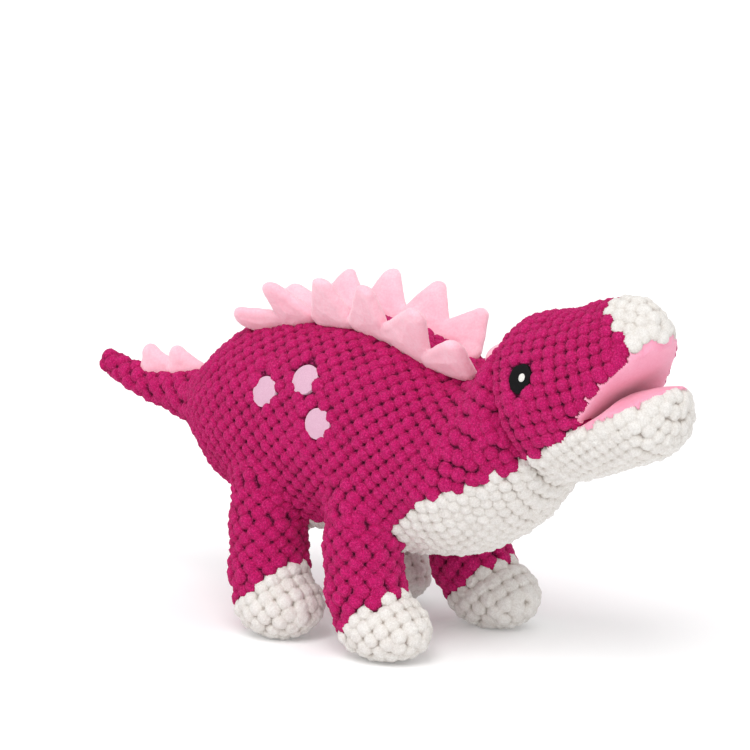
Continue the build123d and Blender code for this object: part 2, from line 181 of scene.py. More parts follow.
def leg_sdf(p, name):
    hx, side, kind = LEGS[name]
    if kind == "front":
        a = round_cone(p, (15, side * 34.5, 72), (15.6, side * 37.2, 52), 19.0, 18.7)
        b = round_cone(p, (15.6, side * 37.2, 52), (18.5, side * 38.6, 34), 18.7, 19.0)
        foot = ellipsoid(p, (31.6, side * 40.6, 15.6), (25.4, 19.6, 16.2))
        instep = round_cone(p, (19.5, side * 39.4, 28), (35.0, side * 40.8, 18.0), 18.4, 16.2)
    else:
        a = round_cone(p, (-46, side * 31.5, 72), (-45.6, side * 34.2, 52), 19.0, 18.6)
        b = round_cone(p, (-45.6, side * 34.2, 52), (-43.0, side * 36.6, 34), 18.6, 18.8)
        foot = ellipsoid(p, (-34.6, side * 39.8, 15.6), (23.2, 19.6, 16.2))
        instep = round_cone(p, (-42.5, side * 38.0, 28), (-31.5, side * 40.0, 18.0), 18.4, 16.4)
    return smin(smin(a, b, 3), smin(foot, instep, 4), 6)


def torso_sdf(p):
    d = tube(p[:, 0], p[:, [1, 2]], TORSO)
    tip = np.linalg.norm(p - np.array([-173.6, 0, 104.0]), axis=1) - 6.0
    return smin(d, tip, 2)


def body_sdf(p):
    d = torso_sdf(p)
    for name in LEGS:
        d = smin(d, leg_sdf(p, name), 9)
    q = to_head(p)[:, 0]
    tuck = np.clip((q + 4.0) / 9.0, 0, 1)
    return smax(d + 4.0 * tuck * tuck * (3 - 2 * tuck), q - 13.0, 3)


def palate_gap(q):
    """Signed: positive in the open mouth, under the palate."""
    line = -15.2 + 0.66 * (q[:, 0] - 46.6) - 0.010 * np.clip(q[:, 0] - 78, 0, 30) ** 2
    over = (q[:, 2] - line) * 0.835
    w = np.interp(q[:, 0], [46, 60, 80, 92], [32, 28, 20, 7])
    t = np.clip((q[:, 0] - 53) / 22, 0, 1)
    ramp = t * t * (3 - 2 * t) * np.clip((95 - q[:, 0]) / 8, 0, 1)
    bulge = 4.6 * np.clip(1 - (q[:, 1] / w) ** 2, 0, 1) ** 0.7 * ramp
    return -(over + bulge)


def tongue_gap(q):
    """Signed: positive in the open mouth, above the jaw."""
    w = np.interp(q[:, 0], [46, 60, 80, 88], [31, 27, 17, 6])
    high = np.interp(q[:, 0], [45.5, 50, 60, 72, 85, 90], [0, 2.4, 7.0, 5.6, 2.4, 0.6])
    bulge = high * np.clip(1 - (q[:, 1] / w) ** 2, 0, 1) ** 0.8
    return (q[:, 2] + 16.8 - bulge) * 0.96


def head_parts(p):
    q = to_head(p)
    upper = tube(q[:, 0], q[:, [1, 2]], HEAD)
    jaw = tube(q[:, 0], q[:, [1, 2]], JAW)
    a = smax(upper, palate_gap(q), 2.5)
    b = smax(jaw, tongue_gap(q), 2.5)
    back = smax(upper, q[:, 0] - 45.5, 1.5)
    return q, upper, jaw, a, b, back


def head_sdf(p):
    q, upper, jaw, a, b, back = head_parts(p)
    d = smin(smin(a, back, 0.8), b, 0.8)
    return smax(d, 5.4 - q[:, 0], 6.5)


def inset(sdf, amount):
    return lambda p: sdf(p) + amount


# ------------------------------------------------------------------ meshing
def gradient(sdf, p, e=0.35):
    g = np.empty_like(p)
    for i in range(3):
        o = np.zeros(3)
        o[i] = e
        g[:, i] = (sdf(p + o) - sdf(p - o)) / (2 * e)
    return g


def project(sdf, p, rounds=2, limit=2.0):
    for _ in range(rounds):
        g = gradient(sdf, p)
        f = sdf(p)
        n2 = np.maximum((g * g).sum(1), 0.04)
        move = -(f / n2)[:, None] * g
        length = np.linalg.norm(move, axis=1)
        move *= np.minimum(1, limit / np.maximum(length, 1e-9))[:, None]
        p = p + move
    return p


def grid_values(sdf, lo, hi, h):
    n = [int(math.ceil((b - a) / h)) + 1 for a, b in zip(lo, hi)]
    k = 4
    nc = [int(math.ceil(m / k)) + 1 for m in n]
    axes = [lo[i] + h * k * np.arange(nc[i]) for i in range(3)]
    pc = np.stack(np.meshgrid(*axes, indexing="ij"), -1).reshape(-1, 3)
    fc = sdf(pc).reshape(nc)
    near = np.abs(fc) < h * k * 2.6
    grow = near.copy()
    for ax in range(3):
        grow |= np.roll(near, 1, ax) | np.roll(near, -1, ax)
    f = np.repeat(np.repeat(np.repeat(fc, k, 0), k, 1), k, 2)[: n[0], : n[1], : n[2]].copy()
    g = np.repeat(np.repeat(np.repeat(grow, k, 0), k, 1), k, 2)[: n[0], : n[1], : n[2]]
    idx = np.argwhere(g)
    for s in range(0, len(idx), 400000):
        part = idx[s : s + 400000]
        f[part[:, 0], part[:, 1], part[:, 2]] = sdf(np.array(lo) + part * h)
    return f


def surface_nets(sdf, lo, hi, h):
    f = grid_values(sdf, lo, hi, h)
    inside = f < 0
    nx, ny, nz = f.shape
    cell = np.zeros((nx - 1, ny - 1, nz - 1), bool)
    corners = [(i, j, k) for i in (0, 1) for j in (0, 1) for k in (0, 1)]
    count = np.zeros(cell.shape, np.int8)
    for i, j, k in corners:
        count += inside[i : nx - 1 + i, j : ny - 1 + j, k : nz - 1 + k]
    cell = (count > 0) & (count < 8)
    ids = -np.ones(cell.shape, np.int64)
    where = np.argwhere(cell)
    ids[cell] = np.arange(len(where))
    total = np.zeros((len(where), 3))
    hits = np.zeros(len(where))
    for a in corners:
        for ax in range(3):
            if a[ax]:
                continue
            b = list(a)
            b[ax] = 1
            fa = f[where[:, 0] + a[0], where[:, 1] + a[1], where[:, 2] + a[2]]
            fb = f[where[:, 0] + b[0], where[:, 1] + b[1], where[:, 2] + b[2]]
            cross = (fa < 0) != (fb < 0)
            t = np.where(cross, fa / np.where(cross, fa - fb, 1), 0)
            pos = np.tile(np.array(a, float), (len(where), 1))
            pos[:, ax] += t
            total += pos * cross[:, None]
            hits += cross
    verts = np.array(lo) + (where + total / hits[:, None]) * h
    quads = []
    for ax in range(3):
        u, v = (ax + 1) % 3, (ax + 2) % 3
        sl0, sl1 = [slice(None)] * 3, [slice(None)] * 3
        sl0[ax], sl1[ax] = slice(0, -1), slice(1, None)
        a, b = inside[tuple(sl0)], inside[tuple(sl1)]
        edge = np.argwhere(a != b)
        ok = (edge[:, u] > 0) & (edge[:, v] > 0) & (edge[:, u] < f.shape[u] - 1) & (edge[:, v] < f.shape[v] - 1)
        edge = edge[ok]
        ring = []
        for du, dv in ((0, 0), (1, 0), (1, 1), (0, 1)):
            c = edge.copy()
            c[:, u] -= du
            c[:, v] -= dv
            ring.append(ids[c[:, 0], c[:, 1], c[:, 2]])
        ring = np.stack(ring, 1)
        out = a[edge[:, 0], edge[:, 1], edge[:, 2]]
        ring[~out] = ring[~out][:, ::-1]
        quads.append(ring)
    quads = np.concatenate(quads)
    return verts, quads[(quads >= 0).all(1)]


def subdivide(verts, quads):
    """Each quad becomes four."""
    n = len(verts)
    e = np.stack([quads, np.roll(quads, -1, 1)], 2).reshape(-1, 2)
    e.sort(1)
    key = e[:, 0] * n + e[:, 1]
    uniq, inverse = np.unique(key, return_inverse=True)
    mid = (verts[uniq // n] + verts[uniq % n]) / 2
    centre = verts[quads].mean(1)
    m = inverse.reshape(-1, 4) + n
    c = np.arange(len(quads)) + n + len(uniq)
    out = []
    for i in range(4):
        out.append(np.stack([quads[:, i], m[:, i], c, m[:, i - 1]], 1))
    return np.concatenate([verts, mid, centre]), np.concatenate(out)


def skin(sdf, lo, hi, h, fine=True):
    v, q = surface_nets(sdf, lo, hi, h)
    v = project(sdf, v, 2, h)
    if fine:
        v, q = subdivide(v, q)
        v = project(sdf, v, 1, h)
    g = gradient(sdf, v)
    g /= np.maximum(np.linalg.norm(g, axis=1, keepdims=True), 1e-9)
    return v, q, g


# ------------------------------------------------------------------ the knit's lattice
def ellipse_points(hw, hz, t):
    """Angles on an ellipse at arc lengths t from its side point (y = hw)."""
    a = np.linspace(-math.pi, math.pi, 721)
    y, z = hw * np.cos(a), hz * np.sin(a)
    s = np.concatenate([[0], np.cumsum(np.hypot(np.diff(y), np.diff(z)))])
    s -= s[360]
    return np.interp(t, s, a), s[-1]


def lattice(table, start, stop, side, diagonal, skew=0.0, to_world=None, phase=0.0):
    """Centres over one flank of a tube, from its side line to both midlines."""
    row = PITCH / math.sqrt(2) if diagonal else PITCH
    col = PITCH * math.sqrt(2) if diagonal else PITCH
    xs = table.x
    top, bottom, hw = table(xs)
    # arc length along: mean of the flank's and the back's own lengths
    dx = np.diff(xs)
    ds = (np.hypot(dx, np.diff(hw)) + np.hypot(dx, np.diff(top))) / 2
    s = np.concatenate([[0], np.cumsum(ds)])
    s0, s1 = np.interp([start, stop], xs, s)
    made = []
    for k, sv in enumerate(np.arange(s0, s1, row)):
        x = float(np.interp(sv, s, xs))
        tp, bt, w = (float(v[0]) for v in table(np.array([x])))
        hz, mid = (tp - bt) / 2, (tp + bt) / 2
        t = np.arange(-40, 41) * col + (col / 2 if diagonal and k % 2 else 0) + skew * k * row + phase
        t = t - col * round((skew * k * row) / col)
        a, half = ellipse_points(w, hz, t)
        keep = np.abs(a) < math.pi / 2 + 0.02
        a = a[keep]
        made.append(np.stack([np.full(len(a), x), side * w * np.cos(a), mid + hz * np.sin(a)], 1))
    made = np.concatenate(made)
    return to_world(made) if to_world else made


def ring_lattice(sdf, origin, axis, start, stop, radius, diagonal):
    """Rings of centres round a line, shot outwards onto the surface."""
    origin, axis = np.array(origin, float), np.array(axis, float)
    axis /= np.linalg.norm(axis)
    u = np.cross(axis, [0, 1, 0])
    u /= np.linalg.norm(u)
    v = np.cross(axis, u)
    row = PITCH / math.sqrt(2) if diagonal else PITCH
    col = PITCH * math.sqrt(2) if diagonal else PITCH
    made = []
    for k, s in enumerate(np.arange(start, stop, row)):
        a = np.linspace(0, 2 * math.pi, 48, endpoint=False)
        dirs = np.cos(a)[:, None] * u + np.sin(a)[:, None] * v
        low, high = np.zeros(48), np.full(48, radius)
        base = origin + axis * s
        for _ in range(16):
            mid = (low + high) / 2
            out = sdf(base + dirs * mid[:, None]) > 0
            high = np.where(out, mid, high)
            low = np.where(out, low, mid)
        ring = base + dirs * low[:, None]
        loop = np.concatenate([ring, ring[:1]])
        arc = np.concatenate([[0], np.cumsum(np.linalg.norm(np.diff(loop, axis=0), axis=1))])
        if arc[-1] < PITCH * 1.2:
            made.append(ring.mean(0)[None])
            continue
        n = max(3, int(round(arc[-1] / col)))
        t = (np.arange(n) + (0.5 if k % 2 and diagonal else 0.0)) * arc[-1] / n
        made.append(np.stack([np.interp(t, arc, loop[:, i]) for i in range(3)], 1))
    return np.concatenate(made)


def tree(points):
    kd = KDTree(len(points))
    for i, c in enumerate(points):
        kd.insert(c, i)
    kd.balance()
    return kd


def thin(points, least):
    """Drops each point that is nearer than least to one kept before it."""
    kd = tree(points)
    gone = np.zeros(len(points), bool)
    for i, c in enumerate(points):
        if gone[i]:
            continue
        for _, j, _ in kd.find_range(c, least):
            if j > i:
                gone[j] = True
    return points[~gone]


def fill(points, verts, most, forbid=None):
    """Adds a centre wherever the surface is further than most from every other."""
    kd = tree(points)
    dist = np.array([kd.find(v)[2] for v in verts])
    bad = verts[dist > most]
    if forbid is not None and len(bad):
        bad = bad[~forbid(bad)]
    added = []
    for b in bad:
        if all((b - a) @ (b - a) > (most * 0.98) ** 2 for a in added):
            added.append(b)
    return np.concatenate([points, np.array(added)]) if added else points


def relax(points, sdf, rounds=4, reach=1.02):
    for _ in range(rounds):
        kd = tree(points)
        move = np.zeros_like(points)
        for i, c in enumerate(points):
            for co, j, d in kd.find_n(c, 7):
                if j != i and d < PITCH * reach and d > 1e-4:
                    move[i] += (c - np.array(co)) / d * (PITCH * reach - d) * 0.22
        points = project(sdf, points + move, 1, 3.0)
    return points


def noise3(p, scale, seed):
    """Smooth value noise in -1..1."""
    q = p / scale
    i = np.floor(q).astype(np.int64)
    f = q - i
    f = f * f * (3 - 2 * f)
    out = np.zeros(len(p))
    for dx in (0, 1):
        for dy in (0, 1):
            for dz in (0, 1):
                h = (
                    (i[:, 0] + dx) * 374761393 + (i[:, 1] + dy) * 668265263
                    + (i[:, 2] + dz) * 2147483647 + seed * 974711
                ) & 0x7FFFFFFF
                h = ((h ^ (h >> 13)) * 1274126177) & 0x7FFFFFFF
                h = (h ^ (h >> 16)) & 0xFFFF
                w = (
                    (f[:, 0] if dx else 1 - f[:, 0])
                    * (f[:, 1] if dy else 1 - f[:, 1])
                    * (f[:, 2] if dz else 1 - f[:, 2])
                )
                out += w * (h / 32767.5 - 1)
    return out


def puff(verts, normals, centres, white, skip):
    """Raises the puffs. Returns moved verts, each vertex's puff and its height share; the knit material also paints
    shade in the creases and lighter puff tops from that share.
    """
    kd = tree(centres)
    n = len(centres)
    found = [kd.find_n(v, 3) for v in verts]
    index = np.array([[f[1] for f in row] for row in found])
    dist = np.array([[f[2] for f in row] for row in found])
    near = index[:, 0]
    # each puff is as wide as the room its neighbours leave it
    room = np.zeros(n)
    np.maximum.at(room, near[~skip], dist[~skip, 0])
    radius = np.clip(room * 0.93, 3.75, 4.9) * np.where(white, 1.02, 1.0) * (1 + 0.03 * rng.standard_normal(n))
    height = PUFF_H * np.where(white, 0.90, 1.0) * (1 + 0.08 * rng.standard_normal(n))
    lift = np.where(white, 0.2, 0.0)
    r = np.clip(dist / radius[index], 0, 1)
    best = (height[index] * np.sqrt(1 - r * r)).max(1)
    lumps = 1 + 0.13 * noise3(verts, 2.3, 21)
    best = best * lumps + lift[near]
    fuzz = 0.30 * noise3(verts, 1.05, 3) + 0.15 * rng.uniform(-1, 1, len(verts))
    share = best / PUFF_H
    moved = verts + normals * (best + fuzz * np.clip(share * 1.6, 0.25, 1))[:, None]
    # swell each puff's shoulder a little, so its foot is undercut
    side = verts - centres[near]
    side -= (side * normals).sum(1, keepdims=True) * normals
    moved += side * (0.10 * np.clip(share, 0, 1) * (1 - np.clip(share, 0, 1)) * 4 * 0.35)[:, None]
    return moved, near, share


def face_labels(labels, share, faces, lining=None):
    """A face goes with its highest vertex; with the lining if half of it does."""
    top = faces[np.arange(len(faces)), share[faces].argmax(1)]
    out = labels[top]
    if lining is not None:
        lined = lining[faces]
        first = faces[np.arange(len(faces)), lined.argmax(1)]
        bare = faces[np.arange(len(faces)), (~lined).argmax(1)]
        out = np.where(lined.sum(1) >= 2, labels[first], labels[bare])
    return out


# ------------------------------------------------------------------ Blender objects
def mesh_object(name, verts_mm, faces, values=None, smooth=True):
    used = np.unique(faces)
    index = np.zeros(len(verts_mm), np.int64)
    index[used] = np.arange(len(used))
    f = index[faces]
    v = verts_mm[used].copy()
    v[:, 0] += SHIFT
    v /= 1000.0
    mesh = bpy.data.meshes.new(name)
    mesh.vertices.add(len(v))
    mesh.vertices.foreach_set("co", v.astype(np.float32).ravel())
    k = f.shape[1]
    mesh.loops.add(len(f) * k)
    mesh.loops.foreach_set("vertex_index", f.astype(np.int32).ravel())
    mesh.polygons.add(len(f))
    mesh.polygons.foreach_set("loop_start", np.arange(0, len(f) * k, k, dtype=np.int32))
    mesh.polygons.foreach_set("loop_total", np.full(len(f), k, np.int32))
    mesh.polygons.foreach_set("use_smooth", np.full(len(f), smooth))
    mesh.update(calc_edges=True)
    mesh.validate()
    for key, val in (values or {}).items():
        a = mesh.attributes.new(key, "FLOAT", "POINT")
        a.data.foreach_set("value", val[used].astype(np.float32))
    obj = bpy.data.objects.new(name, mesh)
    bpy.context.scene.collection.objects.link(obj)
    return obj


# ------------------------------------------------------------------ materials
def node_material(name):
    m = bpy.data.materials.new(name)
    m.use_nodes = True
    nt = m.node_tree
    nt.nodes.clear()
    out = nt.nodes.new("ShaderNodeOutputMaterial")
    bsdf = nt.nodes.new("ShaderNodeBsdfPrincipled")
    nt.links.new(bsdf.outputs["BSDF"], out.inputs["Surface"])
    return m, nt, bsdf


def ramp_node(nt, factor, stops):
    r = nt.nodes.new("ShaderNodeValToRGB")
    while len(r.color_ramp.elements) < len(stops):
        r.color_ramp.elements.new(0.5)
    for e, (pos, col) in zip(r.color_ramp.elements, stops):
        e.position = pos
        e.color = (*col, 1)
    nt.links.new(factor, r.inputs["Fac"])
    return r.outputs["Color"]


def mix(nt, factor, a, b, blend="MIX"):
    m = nt.nodes.new("ShaderNodeMix")
    m.data_type = "RGBA"
    m.blend_type = blend
    for sock, val in ((m.inputs["Factor"], factor), (m.inputs["A"], a), (m.inputs["B"], b)):
        if isinstance(val, (int, float)):
            sock.default_value = val
        elif isinstance(val, tuple):
            sock.default_value = (*val, 1)
        else:
            nt.links.new(val, sock)
    return m.outputs["Result"]


def noise_tex(nt, scale, detail=4.0, rough=0.6):
    co = nt.nodes.new("ShaderNodeTexCoord")
    n = nt.nodes.new("ShaderNodeTexNoise")
    n.inputs["Scale"].default_value = scale
    n.inputs["Detail"].default_value = detail
    n.inputs["Roughness"].default_value = rough
    nt.links.new(co.outputs["Object"], n.inputs["Vector"])
    return n.outputs["Fac"]


def srgb(h):
    vals = [int(h[i : i + 2], 16) / 255 for i in (0, 2, 4)]
    return tuple(v / 12.92 if v <= 0.04045 else ((v + 0.055) / 1.055) ** 2.4 for v in vals)


def knit_material(name, shade_colour, mid, high, sheen_tint, sheen=0.35, depth=0.36, tip=(1, 1, 1)):
    m, nt, b = node_material(name)
    att = nt.nodes.new("ShaderNodeAttribute")
    att.attribute_name = "puff"
    speck = noise_tex(nt, 1500.0, 3.0, 0.7)
    # painted shade and highlight: the puff height share darkens the creases between puffs to the shade colour and
    # lightens the puff tops to the high colour
    base = ramp_node(nt, att.outputs["Fac"], [(0.0, shade_colour), (0.22, shade_colour), (0.62, mid), (1.0, high)])
    fac = ramp_node(nt, speck, [(0.42, (0, 0, 0)), (0.57, (1, 1, 1))])
    shade = mix(nt, fac, mix(nt, depth, base, shade_colour), base)
    # painted highlight: random specks lightened towards the tip colour as sparkle on the fibre tips
    painted_sparkle = ramp_node(nt, noise_tex(nt, 1050.0, 3.0, 0.65), [(0.50, (0, 0, 0)), (0.66, (0.55, 0.55, 0.55))])
    shade = mix(nt, painted_sparkle, shade, tip)
    nt.links.new(shade, b.inputs["Base Color"])
    b.inputs["Roughness"].default_value = 0.92
    b.inputs["Specular IOR Level"].default_value = 0.18
    b.inputs["Sheen Weight"].default_value = sheen
    b.inputs["Sheen Roughness"].default_value = 0.55
    b.inputs["Sheen Tint"].default_value = (*sheen_tint, 1)
    bump = nt.nodes.new("ShaderNodeBump")
    bump.inputs["Strength"].default_value = 0.75
    bump.inputs["Distance"].default_value = 0.0006
    nt.links.new(noise_tex(nt, 1250.0, 4.0, 0.75), bump.inputs["Height"])
    nt.links.new(bump.outputs["Normal"], b.inputs["Normal"])
    return m


def fleece_material(name, shade_colour, mid, high, sheen_tint, sheen=0.5):
    m, nt, b = node_material(name)
    broad = noise_tex(nt, 60.0, 3.0, 0.55)
    fine = noise_tex(nt, 900.0, 4.0, 0.7)
    base = ramp_node(nt, broad, [(0.3, mid), (0.7, high)])
    fac = ramp_node(nt, fine, [(0.35, (0, 0, 0)), (0.62, (1, 1, 1))])
    shade = mix(nt, fac, mix(nt, 0.35, base, shade_colour), base)
    # painted shade: darkens the fleece towards where it meets the body
    att = nt.nodes.new("ShaderNodeAttribute")
    att.attribute_name = "painted_crease_shade"
    shade = mix(nt, att.outputs["Fac"], shade, shade_colour)
    nt.links.new(shade, b.inputs["Base Color"])
    b.inputs["Roughness"].default_value = 0.95
    b.inputs["Specular IOR Level"].default_value = 0.15
    b.inputs["Sheen Weight"].default_value = sheen
    b.inputs["Sheen Roughness"].default_value = 0.5
    b.inputs["Sheen Tint"].default_value = (*sheen_tint, 1)
    b.inputs["Subsurface Weight"].default_value = 0.08
    b.inputs["Subsurface Radius"].default_value = (0.004, 0.002, 0.002)
    b.inputs["Subsurface Scale"].default_value = 0.5
    bump = nt.nodes.new("ShaderNodeBump")
    bump.inputs["Strength"].default_value = 0.35
    bump.inputs["Distance"].default_value = 0.0003
    nt.links.new(noise_tex(nt, 1300.0, 5.0, 0.75), bump.inputs["Height"])
    nt.links.new(bump.outputs["Normal"], b.inputs["Normal"])
    return m


def thread_material(name, dark, light, rough=0.55, sheen=0.15):
    m, nt, b = node_material(name)
    # painted shade: darker in the stitch grooves, lighter on the stitch ridges
    att = nt.nodes.new("ShaderNodeAttribute")
    att.attribute_name = "stitch_shade"
    base = ramp_node(nt, att.outputs["Fac"], [(0.0, dark), (1.0, light)])
    speck = noise_tex(nt, 1600.0, 3.0, 0.6)
    fac = ramp_node(nt, speck, [(0.4, (0, 0, 0)), (0.6, (1, 1, 1))])
    nt.links.new(mix(nt, fac, mix(nt, 0.35, base, dark), base), b.inputs["Base Color"])
    b.inputs["Roughness"].default_value = rough
    b.inputs["Specular IOR Level"].default_value = 0.2
    b.inputs["Sheen Weight"].default_value = sheen
    bump = nt.nodes.new("ShaderNodeBump")
    bump.inputs["Strength"].default_value = 0.4
    bump.inputs["Distance"].default_value = 0.0002
    nt.links.new(noise_tex(nt, 2200.0, 3.0, 0.6), bump.inputs["Height"])
    nt.links.new(bump.outputs["Normal"], b.inputs["Normal"])
    return m


# knit colours in order: painted crease shade, mid, lighter painted puff top, sheen tint, sheen, speck darkening,
# painted sparkle highlight
MAGENTA = knit_material("magenta_bubble_knit", srgb("58022C"), srgb("B60858"), srgb("C81468"), srgb("F888C0"), 0.14, 0.5, srgb("DE3A86"))
WHITE = knit_material("white_bubble_knit", srgb("BDB3AA"), srgb("E4DFD9"), srgb("EDEAE6"), (1, 1, 1), 0.12, 0.3, srgb("F5F3F0"))
# fleece colours: painted shade where the spikes meet the body, then the mottled mid and high tones
PINK = fleece_material("pale_pink_fleece", srgb("F19BB2"), srgb("F8BCCB"), srgb("FBCEDA"), (1.0, 0.9, 0.93), 0.6)
MOUTH = fleece_material("mouth_pink_fleece", srgb("E87FA0"), srgb("F09DB8"), srgb("F4AFC6"), (1.0, 0.86, 0.9), 0.5)
# thread colours: painted shade in the stitch grooves, then the lighter painted stitch ridges
SPOT = thread_material("spot_satin_stitch", srgb("C795AE"), srgb("E6C3D4"))
BLACK = thread_material("eye_satin_stitch", srgb("020102"), srgb("080508"), 0.7, 0.0)
GLINT = thread_material("glint_satin_stitch", srgb("CFCBC6"), srgb("F4F2EE"))

made = {}


def finish_piece(obj, mat, body, replaces, bend=None):
    obj.data.materials.append(mat)
    if bend:
        a, b, start, end = bend
        p = [np.array(v, float) for v in (start, end)]
        for v in p:
            v[0] += SHIFT
        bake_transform(obj)
    else:
        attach(obj, body)
    if replaces:
        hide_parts(*replaces)
    made[obj.name] = obj
    return obj


# ------------------------------------------------------------------ torso, tail and legs
BODY_BASE = inset(body_sdf, INSET)
bv, bq, bn = skin(BODY_BASE, (-180, -66, -2), (116, 66, 178), STEP)

BELLY = np.array([
    (-79, 47), (-76, 52), (-60, 54.5), (-30, 56), (10, 57.5), (30, 65), (41, 73),
    (68, 88), (91, 98), (107, 109), (125, 119),
])
SPOT_AT = [(-41.0, 119.6), (-18.2, 129.2), (-4.3, 110.7)]
SPOT_RX, SPOT_RZ = 7.3, 7.4
GUSSET_Y = 15.0


def white_foot(p, name):
    kind = LEGS[name][2]
    x = p[:, 0] - (33 if kind == "front" else -34)
    return p[:, 2] < x * 0.86 + 28.5


def body_region(p):
    """0 right flank, 1 left flank, 2 gusset, 3 belly, 4 tail, 10+2k leg, 11+2k foot"""
    out = np.where(p[:, 1] < 0, 0, 1)
    z_line = np.interp(p[:, 0], BELLY[:, 0], BELLY[:, 1])
    out = np.where((np.abs(p[:, 1]) < GUSSET_Y) & (p[:, 2] > 100) & (p[:, 0] > -84), 2, out)
    out = np.where((p[:, 2] < z_line) & (p[:, 0] > -78), 3, out)
    out = np.where(p[:, 0] < -103, 4, out)
    torso = torso_sdf(p)
    legs = np.stack([leg_sdf(p, name) for name in LEGS], 1)
    nearest = legs.argmin(1)
    for k, name in enumerate(LEGS):
        side = LEGS[name][1]
        plane = (side * p[:, 1] - 50) * 0.717 - (p[:, 2] - 84) * 0.697
        on = (nearest == k) & (legs[:, k] < torso + 1.2) & (plane > -2.0)
        out = np.where(on, 10 + 2 * k, out)
        out = np.where(on & white_foot(p, name) & (p[:, 2] < 46), 11 + 2 * k, out)
    return out


def near_spot(p, grow):
    hit = np.zeros(len(p), bool)
    for x, z in SPOT_AT:
        hit |= ((p[:, 0] - x) / (SPOT_RX + grow)) ** 2 + ((p[:, 2] - z) / (SPOT_RZ + grow)) ** 2 < 1
    return hit & (np.abs(p[:, 1]) > 25)


sets = []
for side, label in ((-1, 0), (1, 1)):
    c = lattice(TORSO, -104, 112, side, True)
    c = project(BODY_BASE, c, 3, 4)
    sets.append(c[body_region(c) == label])
c = np.concatenate([lattice(TORSO, -86, 112, s, True) for s in (-1, 1)])
c = project(BODY_BASE, c, 3, 4)
sets.append(c[body_region(c) == 2])
c = np.concatenate([lattice(TORSO, -84, 116, s, False, phase=PITCH / 2) for s in (-1, 1)])
c = project(BODY_BASE, c, 3, 4)
sets.append(c[body_region(c) == 3])
c = ring_lattice(BODY_BASE, (-178, 0, 104), (1, 0, -0.10), 3, 80, 60, True)
c = project(BODY_BASE, c, 2, 3)
sets.append(c[body_region(c) == 4])
for k, name in enumerate(LEGS):
    hx, side, kind = LEGS[name]
    y0 = 38.6 if kind == "front" else 36.6
    x0 = 18.5 if kind == "front" else -43.0
    c = ring_lattice(BODY_BASE, (x0, side * y0, 12), (0.0, -side * 0.06, 1), 0, 84, 30, True)
    c = project(BODY_BASE, c, 2, 3)
    sets.append(c[body_region(c) == 10 + 2 * k])
    fx = 33 if kind == "front" else -34
    c = ring_lattice(BODY_BASE, (fx - 22, side * 40, 40), (0.68, 0, -0.73), 0, 70, 45, False)
    c = project(BODY_BASE, c, 2, 3)
    sets.append(c[body_region(c) == 11 + 2 * k])
centres = np.concatenate(sets)
keep_neck = to_head(centres)[:, 0] < 12.0
centres = centres[keep_neck & ~near_spot(centres, 0.8)]
centres = thin(centres, PITCH * 0.72)
sample = bv[:: 3]
sample = sample[to_head(sample)[:, 0] < 11.0]
centres = fill(centres, sample, PITCH * 0.80, lambda b: near_spot(b, 1.5))
centres = relax(centres, BODY_BASE, 3, 0.95)
centres = fill(centres, sample, PITCH * 0.76, lambda b: near_spot(b, 1.5))
centres = relax(centres, BODY_BASE, 2, 0.93)
centres = fill(centres, sample, PITCH * 0.78, lambda b: near_spot(b, 1.5))
bite = np.zeros(len(centres), bool)
for x, z in (SPOT_AT[0], SPOT_AT[2]):
    bite |= (centres[:, 0] > x + 4.0) & (np.abs(centres[:, 2] - z) < 9) & (centres[:, 0] < x + 12)
centres = centres[~near_spot(centres, 0.9) & (bite | ~near_spot(centres, 1.7))]
centres = fill(centres, sample, PITCH * 0.82, lambda b: near_spot(b, 1.5))
centres += rng.uniform(-0.2, 0.2, centres.shape)
regions = body_region(centres)

moved, near, share = puff(bv, bn, centres, (regions == 3) | ((regions >= 10) & (regions % 2 == 1)), near_spot(bv, 1.2))
moved[:, 2] = np.maximum(moved[:, 2], 0.05 + 0.25 * np.clip(noise3(bv, 2.0, 9), 0, 1))
flat_zone = near_spot(bv, 0.0)
label = regions[near]
# nothing of the flank shows past the neck seam
hidden = to_head(bv)[:, 0] > 12.2
face_label = face_labels(label, share, bq)
face_ok = ~hidden[bq].any(1)

# legs' own puffs carry on to the hip
# the puff height share also drives the knit's painted crease shade and lighter painted puff tops
values = {"puff": share}
jaw_pos = np.array(joints["jaw_hinge"]["pos_m"]) * 1000.0

for lab, name, mat, reps, slot_name in (
    (0, "torso_side_right_knit", MAGENTA, ["torso_side_right", "rump_facing"], "magenta_knit"),
    (1, "torso_side_left_knit", MAGENTA, ["torso_side_left"], "magenta_knit"),
    (2, "back_gusset_knit", MAGENTA, ["back_gusset"], "magenta_knit"),
    (3, "belly_panel_knit", WHITE, ["belly_panel", "torso_stuffing"], "white_knit"),
):
    o = mesh_object(name, moved, bq[(face_label == lab) & face_ok], values)
    finish_piece(o, mat, "torso", reps)

o = mesh_object("tail_knit", moved, bq[(face_label == 4) & face_ok], values)
finish_piece(
    o, MAGENTA, "tail", ["tail_side_right", "tail_side_left", "tail_stuffing"],
    bend=("torso", "tail", (-104, 0, 95.5), (-128, 0, 95.5)),
)
for k, name in enumerate(LEGS):
    hx, side, kind = LEGS[name]
    body = name + "_leg_body"
    a = np.array([hx, side * 50.0, 84.0])
    n = np.array([0.0, side * 0.717, -0.697])
    for lab, piece, mat, reps, slot_name in (
        (10 + 2 * k, f"leg_{name}_knit", MAGENTA, [f"leg_{name}", f"leg_stuffing_{name}"], "magenta_knit"),
        (11 + 2 * k, f"foot_{name}_knit", WHITE, [f"foot_{name}"], "white_knit"),
    ):
        o = mesh_object(piece, moved, bq[(face_label == lab) & face_ok], values)
        bend = ("torso", body, tuple(a + n * 4.0), tuple(a + n * 30.0)) if lab % 2 == 0 else None
        finish_piece(o, mat, body, reps, bend=bend)


